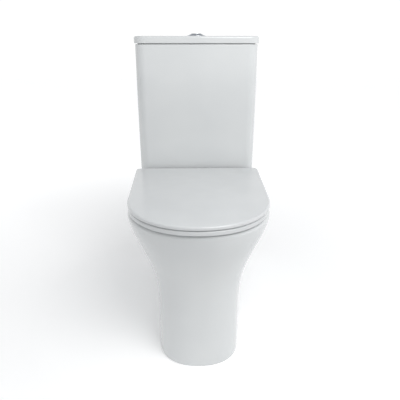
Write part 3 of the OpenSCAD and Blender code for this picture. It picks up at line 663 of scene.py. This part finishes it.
plate_z = lid_high.z - lid_plate
slab = [lip_ring(plate_z, lip_wall + 0.004), lip_ring(plate_z - 0.003, lip_wall)]
slab += [lip_ring(lid_low.z + 0.001, lip_wall), lip_ring(lid_low.z, lip_wall - 0.001)]
slab += [lip_ring(lid_low.z, 0.001), lip_ring(lid_low.z + 0.001), lip_ring(tank_high.z + 0.0003)]
slab += [lid_ring(tank_high.z + 0.0003, lid_step), lid_ring(slab_z - 0.0003, lid_step)]
slab += [lid_ring(slab_z + gone, left) for left, gone in rounded(under_lid_edge, 0, 90, 4)]
slab += [lid_ring(lid_high.z - left, gone) for left, gone in rounded(lid_edge, 0, 90, 10)]
cistern_lid = skin("cistern_lid_slab", slab)
carve(cistern_lid, "DIFFERENCE", hole(0, valve_d, tank_high.z, lid_high.z, sleeve_r + 0.0008))
handed_over(cistern_lid, glazed_china, "cistern_lid", "cistern_lid", 40)

# ---- flush button ----
# A chrome plated housing with a sloping flange drops through the lid into a nut. In it sit
# two push buttons side by side, the larger for a full flush, each over a small coil spring.
flange_low, flange_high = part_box("button_housing")
flange_r = (flange_high.x - flange_low.x) / 2
flange_top = flange_high.z
flange_edge = 0.0006
button_r = 0.016
button_gap = 0.0004
button_low, button_top = [corner.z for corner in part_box("full_button")]
button_split = 0.005
split_gap = 0.0005
housing_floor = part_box("full_spring")[0].z
thread_pitch = 0.0016
rod_r = 0.0025
full_rod_x = -0.011
half_rod_x = 0.0095
half_rod_d = -0.005
chrome_bright = (0.83, 0.84, 0.86, 1)
chrome_smudged = (0.74, 0.75, 0.77, 1)

chrome, tree, plate, place = new_finish("chrome")
lay(tree, plate, tint(tree, cloud(tree, place, 0.012, 3), chrome_smudged, chrome_bright),
    span(tree, cloud(tree, place, 0.005, 5), 0.05, 0.16),
    raised(tree, cloud(tree, place, 0.007, 1), 0.00003))
plate.inputs["Metallic"].default_value = 1

thread_root = sleeve_r - 0.0006
flange_z = lid_high.z
housing = [(button_r - 0.0005, housing_floor - 0.003), (button_r - 0.0005, flange_low.z),
           (thread_root, flange_low.z)]
threads = int((plate_z - 0.008 - flange_low.z) / thread_pitch)
for i in range(threads):
    foot = flange_low.z + 0.001 + i * thread_pitch
    housing += [(thread_root, foot), (sleeve_r, foot + 0.0005), (sleeve_r, foot + 0.0009),
                (thread_root, foot + 0.0013)]
housing += [(sleeve_r, flange_z - 0.008), (sleeve_r, flange_z), (flange_r, flange_z)]
housing += [(flange_r, flange_z + 0.0007)]
housing += [(flange_r - flange_edge * (1 - math.cos(a)), flange_z + 0.0007 + flange_edge * math.sin(a))
            for a in quarter(20, 80, 3)]
housing += [(mix(flange_r - 0.0008, sleeve_r + 0.0004, t),
             mix(flange_z + 0.0014, flange_top - 0.0004, t ** 0.93)) for t in (0.25, 0.5, 0.75, 1)]
housing += [(sleeve_r - 0.0001, flange_top), (button_r + button_gap + 0.0005, flange_top),
            (button_r + button_gap, flange_top - 0.0005), (button_r + button_gap, housing_floor)]
button_housing = turned("button_bezel", housing, at(0, valve_d, 0), steps=96)
for x, d in ((full_rod_x, valve_d), (half_rod_x, valve_d + half_rod_d)):
    rod_hole = turned("rod_hole", [(rod_r + 0.0006, 0), (rod_r + 0.0006, 0.02)],
                      at(x, d, housing_floor - 0.01), steps=32)
    carve(button_housing, "DIFFERENCE", rod_hole)
handed_over(button_housing, chrome, "cistern_lid", "button_housing", 32)


def button_part(name, low_x, high_x):
    """One part of the dished round button, between two distances across."""
    edge = 0.0012
    dish = 0.0009
    profile = [(button_r - 0.0006, button_low), (button_r, button_low + 0.0006)]
    profile += [(button_r, button_top - edge)]
    profile += [(button_r - gone, button_top - left) for left, gone in rounded(edge, 15, 90, 6)]
    profile += [((button_r - edge) * s, button_top - dish * ease(1 - s))
                for s in (0.92, 0.8, 0.65, 0.5, 0.35, 0.2, 0.05)]
    part = turned(name, profile, at(0, valve_d, 0), steps=96)
    keep = block("keep", at(low_x, valve_d + 0.03, button_low - 0.002),
                 at(high_x, valve_d - 0.03, button_top + 0.002))
    carve(part, "INTERSECT", keep)
    rounding = part.modifiers.new("rounding", "BEVEL")
    rounding.width = 0.0004
    rounding.segments = 3
    rounding.limit_method = "ANGLE"
    rounding.angle_limit = math.radians(50)
    settle(part)
    return part


full_button = button_part("full_flush_cap", -0.03, button_split - split_gap)
half_button = button_part("half_flush_cap", button_split + split_gap, 0.03)
handed_over(full_button, chrome, "full_button", "full_button")
handed_over(half_button, chrome, "half_button", "half_button")


def coil(name, x, d, low, high, wire=0.0006, turns=6.5, coil_r=0.0040):
    """A compression spring, with its end turns closed up."""
    steps = int(turns * 28)
    rings = []
    for i in range(steps + 1):
        share = i / steps
        angle = 2 * math.pi * turns * share
        rise = mix(low + wire, high - wire, clamp(mix(share, ease(share), 0.35)))
        middle = at(x + coil_r * math.cos(angle), d + coil_r * math.sin(angle), rise)
        outward = Vector((math.cos(angle), -math.sin(angle), 0))
        rings.append([middle + wire * (math.cos(t) * outward + math.sin(t) * Vector((0, 0, 1)))
                      for t in [2 * math.pi * k / 10 for k in range(10)]])
    return skin(name, rings)


spring_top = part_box("full_spring")[1].z
full_spring = coil("full_flush_spring", full_rod_x, valve_d, housing_floor, spring_top)
half_spring = coil("half_flush_spring", half_rod_x, valve_d + half_rod_d, housing_floor, spring_top)
for spring, node, joint in ((full_spring, "full_spring", "full_flush_press"),
                            (half_spring, "half_spring", "half_flush_press")):
    handed_over(spring, zinc_steel, "cistern_lid", node, 60)
    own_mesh(spring)
dress(valve_plastic, "housing_nut", "full_rod", "half_rod")

# ---- seat hinges ----
# Two chrome plated posts on round bases, bolted through the deck with studs, rubber bushes
# and plastic wing nuts. Steel pins carry the ring and the lid on soft-close dampers.
hinge_low, hinge_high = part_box("hinge_pins")
hinge_z = (hinge_low.z + hinge_high.z) / 2
hinge_y = (hinge_low.y + hinge_high.y) / 2
hinge_d = wall_y - hinge_y
pin_r = (hinge_high.z - hinge_low.z) / 2
post_w = 0.016
post_r = 0.005
post_top = 0.417
base_r = 0.015
knuckle_r = 0.0053
knuckle_edge = 0.0006
knuckle_past = 0.0015
pin_hole_r = 0.004
damper_dark = (0.030, 0.031, 0.034, 1)
damper_worn = (0.055, 0.056, 0.060, 1)


def barrel(name, x, w, r, edge=knuckle_edge, steps=48):
    """A round barrel on the hinge axis, centred at x, its ends rounded."""
    ends = [(r - left, gone) for left, gone in rounded(edge, 0, 90, 3)]
    profile = ends + [(radius, w - rise) for radius, rise in reversed(ends)]
    return turned(name, profile, Vector((x - w / 2, hinge_y, hinge_z)), "X", steps)


def pin_hole(x, w, r):
    """A bore along the hinge axis through a barrel of width w."""
    return turned("bore", [(r, 0), (r, w + 0.002)], Vector((x - w / 2 - 0.001, hinge_y, hinge_z)), "X", 32)


def hinge_post(x):
    base = [(base_r - 0.0004, 0), (base_r, 0.0004), (base_r, 0.0012), (base_r - 0.0008, 0.0020),
            (0.009, 0.0029), (0.0062, 0.0034), (post_r + 0.0003, 0.0046), (post_r, 0.006), (post_r, 0.011)]
    post = turned("post", base, at(x, post_d, rim_z), steps=64)
    head = block("head", at(x - post_w / 2, post_d + 0.0045, post_top - 0.007),
                 at(x + post_w / 2, hinge_d + knuckle_past, post_top), 0.0015)
    carve(post, "UNION", head, barrel("barrel", x, post_w, knuckle_r))
    return carve(post, "DIFFERENCE", pin_hole(x, post_w, pin_r))


posts = gather("hinge_post_pair", [hinge_post(-hinge_x), hinge_post(hinge_x)])
handed_over(posts, chrome, "root", "hinge_posts", 30)
damper_plastic = moulded("damper_plastic", damper_dark, damper_worn, 0.45)
dress(damper_plastic, "ring_dampers", "lid_dampers")
dress(zinc_steel, "hinge_pins", "hinge_studs")
dress(rubber, "hinge_bushes")
dress(valve_plastic, "hinge_nuts")

# ---- seat ring ----
# A slim compression moulding in white thermoset plastic. Its top falls gently towards the
# opening, its edges are polished round, and two arms reach back to the hinge.
ring_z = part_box("ring_buffers")[1].z
ring_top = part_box("lid_buffers")[0].z
seat_low, seat_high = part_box("seat_lid")
seat_front = wall_y - seat_low.y
seat_rear = hinge_d - 0.012
seat_rear_half = seat_high.x
seat_half = 0.179
seat_middle = 0.425
seat_power = 2.15
seat_corner = 0.014
ring_rear = 0.204
ring_inset = 0.0015
opening_half = 0.108
opening_back = 0.262
opening_front = 0.552
ring_fall = 0.0028
outer_edge = 0.0040
inner_edge = 0.0046
under_edge = 0.0015
arm_w = 0.019
lid_arm_w = 0.020
side_gap = 0.001
seat_light = (0.600, 0.614, 0.620, 1)
seat_soft = (0.580, 0.594, 0.601, 1)

# Polished thermoset: nearly as bright as the china, a touch softer in gloss.
seat_plastic, tree, resin, place = new_finish("seat_plastic")
resin_roll = raised(tree, cloud(tree, place, 0.05, 1), 0.00012)
lay(tree, resin, tint(tree, cloud(tree, place, 0.12, 2), seat_soft, seat_light),
    span(tree, cloud(tree, place, 0.03, 4), 0.16, 0.24),
    raised(tree, cloud(tree, place, 0.0008, 2), 0.000005, resin_roll))
resin.inputs["IOR"].default_value = 1.5


def seat_outline(back, inset, corner_steps=10, front_steps=132):
    """The seat's outline from its right rear corner round the front, as (across, depth)."""
    def side_half(d):
        return mix(seat_rear_half, seat_half, (d - seat_rear) / (seat_middle - seat_rear)) - inset
    corner = [(side_half(back) - left, back + gone)
              for left, gone in rounded(seat_corner, 0, 90, corner_steps)]
    side = [(side_half(d), d) for d in [mix(back + seat_corner, seat_middle, i / 16) for i in range(1, 16)]]
    reach = seat_front - seat_middle - inset
    front = []
    for a in quarter(90, -90, front_steps):
        front.append(((seat_half - inset) * squared(math.sin(a), seat_power),
                      seat_middle + reach * squared(math.cos(a), seat_power)))
    rear = [(mix(-corner[0][0], corner[0][0], i / 24), back) for i in range(1, 24)]
    right = corner + side
    return right + front + [(-x, d) for x, d in reversed(right)] + rear


def shrunk(outline, amount):
    """The outline moved inwards by amount along its own normals."""
    moved = []
    for i, (x, d) in enumerate(outline):
        before = outline[i - 1]
        after = outline[(i + 1) % len(outline)]
        run = Vector((after[0] - before[0], after[1] - before[1])).normalized()
        moved.append((x - run.y * amount, d + run.x * amount))
    return moved


def ring_of(outline, z):
    return [at(x, d, z) for x, d in outline]


ring_outline = seat_outline(ring_rear, ring_inset)
opening_middle = (opening_back + opening_front) / 2
opening_reach = (opening_front - opening_back) / 2


def opening_point(x, d, grow):
    """The opening's edge in the direction of a point of the outline."""
    dx, dd = x, d - opening_middle
    size = ((abs(dx) / (opening_half + grow)) ** seat_power
            + (abs(dd) / (opening_reach + grow)) ** seat_power)
    share = size ** (-1 / seat_power)
    return dx * share, opening_middle + dd * share


def opening_ring(grow, z):
    return [at(*opening_point(x, d, grow), z) for x, d in ring_outline]


sections = [ring_of(shrunk(ring_outline, left), ring_z + gone)
            for left, gone in rounded(under_edge, 0, 90, 4)]
sections += [ring_of(shrunk(ring_outline, gone), ring_top - left)
             for left, gone in rounded(outer_edge, 0, 90, 8)]
flat_edge = shrunk(ring_outline, outer_edge)
for i in range(1, 13):
    share = i / 12
    level = ring_top - ring_fall * ease(clamp((share - 0.25) / 0.75))
    sections.append([at(*(mix(a, b, share) for a, b in zip(point, opening_point(*source, inner_edge))), level)
                     for point, source in zip(flat_edge, ring_outline)])
inner_top = ring_top - ring_fall
sections += [opening_ring(left, inner_top - gone) for left, gone in rounded(inner_edge, 0, 90, 8)[1:]]
sections += [opening_ring(gone, ring_z + left) for left, gone in rounded(under_edge, 0, 90, 4)]
seat_ring = skin("seat_ring_moulding", sections, closed=True)
ring_arm_x = hinge_x - post_w / 2 - side_gap - arm_w / 2
for x in (-ring_arm_x, ring_arm_x):
    arm = block("arm", at(x - arm_w / 2, ring_rear + 0.006, ring_z + 0.003),
                at(x + arm_w / 2, hinge_d + knuckle_past, ring_top - 0.0005), 0.0016)
    carve(seat_ring, "UNION", arm, barrel("barrel", x, arm_w, knuckle_r))
    carve(seat_ring, "DIFFERENCE", pin_hole(x, arm_w, pin_hole_r))
handed_over(seat_ring, seat_plastic, "seat_ring", "seat_ring", 40)

# ---- seat lid ----
# A thin thermoset slab with a faint crown on top, a shallow recess underneath and a soft
# round edge. Its barrels turn on the same pins, outside the posts.
lid_thick = 0.0095
lid_edge_top = 0.0048
lid_edge_low = 0.0022
lid_crown = 0.0014
recess_depth = 0.0012
recess_inset = 0.038
lid_outline = seat_outline(seat_rear, 0)
slab_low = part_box("lid_buffers")[1].z
slab_high = slab_low + lid_thick
lid_middle = (seat_rear + seat_front) / 2


def toward_middle(outline, share):
    return [(x * share, mix(lid_middle, d, share)) for x, d in outline]


inside = shrunk(lid_outline, lid_edge_low)
top_flat = shrunk(lid_outline, lid_edge_top)
recess = toward_middle(inside, 1 - recess_inset / seat_half)
sections = [ring_of(toward_middle(recess, s), slab_low + recess_depth) for s in (0.03, 0.3, 0.6, 0.9, 0.965)]
sections += [ring_of(toward_middle(recess, mix(0.965, 1, s)), slab_low + recess_depth * (1 - ease(s)))
             for s in (0.25, 0.5, 0.75, 1)]
sections += [ring_of(shrunk(lid_outline, left), slab_low + gone)
             for left, gone in rounded(lid_edge_low, 0, 90, 6)]
sections += [ring_of(shrunk(lid_outline, gone), slab_high - left)
             for left, gone in rounded(lid_edge_top, 0, 90, 10)]
sections += [ring_of(toward_middle(top_flat, s), slab_high + lid_crown * (1 - s ** 2) ** 1.2)
             for s in (0.985, 0.96, 0.92, 0.86, 0.78, 0.68, 0.56, 0.43, 0.3, 0.17, 0.05)]
seat_lid = skin("seat_lid_moulding", sections)
pocket_w = post_w + arm_w + 3 * side_gap
pocket_x = hinge_x + post_w / 2 + side_gap - pocket_w / 2
lid_arm_x = hinge_x + post_w / 2 + side_gap + lid_arm_w / 2
for side in (-1, 1):
    pocket = barrel("pocket", side * pocket_x, pocket_w, 0.006, 0.0008)
    carve(seat_lid, "DIFFERENCE", pocket)
    carve(seat_lid, "UNION", barrel("barrel", side * lid_arm_x, lid_arm_w, knuckle_r))
    carve(seat_lid, "DIFFERENCE", pin_hole(side * lid_arm_x, lid_arm_w, pin_hole_r))
handed_over(seat_lid, seat_plastic, "seat_lid", "seat_lid", 40)

# ---- buffers ----
# Soft white rubber pads pressed into the undersides: four keep the ring off the china, and
# four smaller ones keep the lid off the ring, which leaves the two thin shadow lines.
buffer_light = (0.66, 0.66, 0.64, 1)
buffer_dull = (0.58, 0.58, 0.555, 1)
buffer_edge = 0.0012
buffer_rubber = moulded("buffer_rubber", buffer_dull, buffer_light, 0.6, 0.0014)


def buffers(name, r, low, high):
    """Four pads of radius r that fill the gap between two heights."""
    pad = [(r * 0.45, 0), (r * 0.5, 0.0003)]
    pad += [(r - left, gone) for left, gone in rounded(buffer_edge, 0, 90, 4)]
    pad += [(r + 0.0003, high - low)]
    spots = [(s * x, d) for s in (-1, 1) for x, d in ((0.155, 0.330), (0.092, 0.562))]
    return gather(name, [turned("pad", pad, at(x, d, low), steps=40) for x, d in spots])


ring_pads = buffers("ring_buffer_pads", 0.008, rim_z, ring_z)
lid_pads = buffers("lid_buffer_pads", 0.006, ring_top, slab_low)
handed_over(ring_pads, buffer_rubber, "seat_ring", "ring_buffers")
handed_over(lid_pads, buffer_rubber, "seat_lid", "lid_buffers")

# ---- floor, light and camera ----
# A wide matt white floor that turns gently greyer in front of the pan, with a faint painted glow
# behind it, painted light that keeps the paper white, a plain room, and a soft box high in front to the
# right.
floor_half = 9.0
floor_white = (0.96, 0.96, 0.96, 1)
floor_white_bright = (0.98, 0.98, 0.98, 1)
floor_grey = (0.50, 0.50, 0.50, 1)
floor_grey_bright = (0.53, 0.53, 0.53, 1)
room_behind_low = (1.06, 1.06, 1.06, 1)
room_behind_high = (0.32, 0.34, 0.37, 1)
room_front_low = (1.00, 1.005, 1.01, 1)
room_front_high = (0.55, 0.555, 0.56, 1)


def blend(tree, amount, one, other):
    """One colour where amount is 0, turning to the other where it is 1."""
    node = tree.nodes.new("ShaderNodeMix")
    node.data_type = "RGBA"
    first, second = [socket for socket in node.inputs if socket.enabled and socket.name in ("A", "B")]
    tree.links.new(amount, node.inputs["Factor"])
    tree.links.new(one, first)
    tree.links.new(other, second)
    return [socket for socket in node.outputs if socket.enabled][0]


edges = [Vector((x * floor_half, y * floor_half, -0.0004)) for x, y in ((-1, -1), (1, -1), (1, 1), (-1, 1))]
floor = skin("floor", [[point - Vector((0, 0, 0.002)) for point in edges], edges])
matt_floor, tree, sheet, place = new_finish("matt_floor")
spread = tree.nodes.new("ShaderNodeSeparateXYZ")
tree.links.new(place, spread.inputs["Vector"])
away = tree.nodes.new("ShaderNodeVectorMath")
away.operation = "LENGTH"
tree.links.new(place, away.inputs["Vector"])
behind = span(tree, spread.outputs["Y"], 0, 1, -1.1, -0.42)
mottle = cloud(tree, place, 0.8)
white = tint(tree, mottle, floor_white, floor_white_bright)
grey = tint(tree, mottle, floor_grey, floor_grey_bright)
# Painted light: the floor behind the pan glows a little, more strongly further away, so that it reads white.
painted_glow = tree.nodes.new("ShaderNodeMath")
painted_glow.operation = "MULTIPLY"
tree.links.new(span(tree, away.outputs["Value"], 0.15, 0.42, 0.5, 1.6), painted_glow.inputs[0])
tree.links.new(behind, painted_glow.inputs[1])
lay(tree, sheet, blend(tree, behind, grey, white),
    span(tree, cloud(tree, place, 0.2), 0.8, 0.95),
    raised(tree, cloud(tree, place, 0.01, 3), 0.00005))
sheet.inputs["Specular IOR Level"].default_value = 0.1
sheet.inputs["Emission Color"].default_value = (1, 1, 1, 1)
tree.links.new(painted_glow.outputs["Value"], sheet.inputs["Emission Strength"])
floor.data.materials.append(matt_floor)

room = bpy.data.worlds.new("room")
bpy.context.scene.world = room
room.use_nodes = True
tree = room.node_tree
way = tree.nodes.new("ShaderNodeSeparateXYZ")
tree.links.new(tree.nodes.new("ShaderNodeTexCoord").outputs["Generated"], way.inputs["Vector"])
ahead = tint(tree, way.outputs["Z"], room_front_low, room_front_high, 0.05, 0.7)
beyond = tint(tree, way.outputs["Z"], room_behind_low, room_behind_high, 0.30, 0.55)
around = blend(tree, span(tree, way.outputs["Y"], 0, 1, 0.15, 0.70), ahead, beyond)
tree.links.new(around, tree.nodes["Background"].inputs["Color"])

lamp = bpy.data.lights.new("soft_box", "AREA")
lamp.shape = "SQUARE"
lamp.size = 0.9
lamp.energy = 13.5
lamp_holder = bpy.data.objects.new("soft_box", lamp)
lamp_holder.location = at(0.50, 1.15, 1.50)
lamp_holder.rotation_euler = (at(0, 0.20, 0.60) - lamp_holder.location).to_track_quat("-Z", "Y").to_euler()
bpy.context.collection.objects.link(lamp_holder)

camera = bpy.data.cameras.new("camera")
camera.lens = 37.09
camera.sensor_width = 36
camera_holder = bpy.data.objects.new("camera", camera)
camera_holder.location = (-0.0178, wall_y - 1.4107, 0.7962)
camera_holder.rotation_euler = (math.radians(69.0), 0, math.radians(-1.25))
bpy.context.collection.objects.link(camera_holder)
bpy.context.scene.camera = camera_holder
bpy.context.scene.view_settings.view_transform = "Standard"
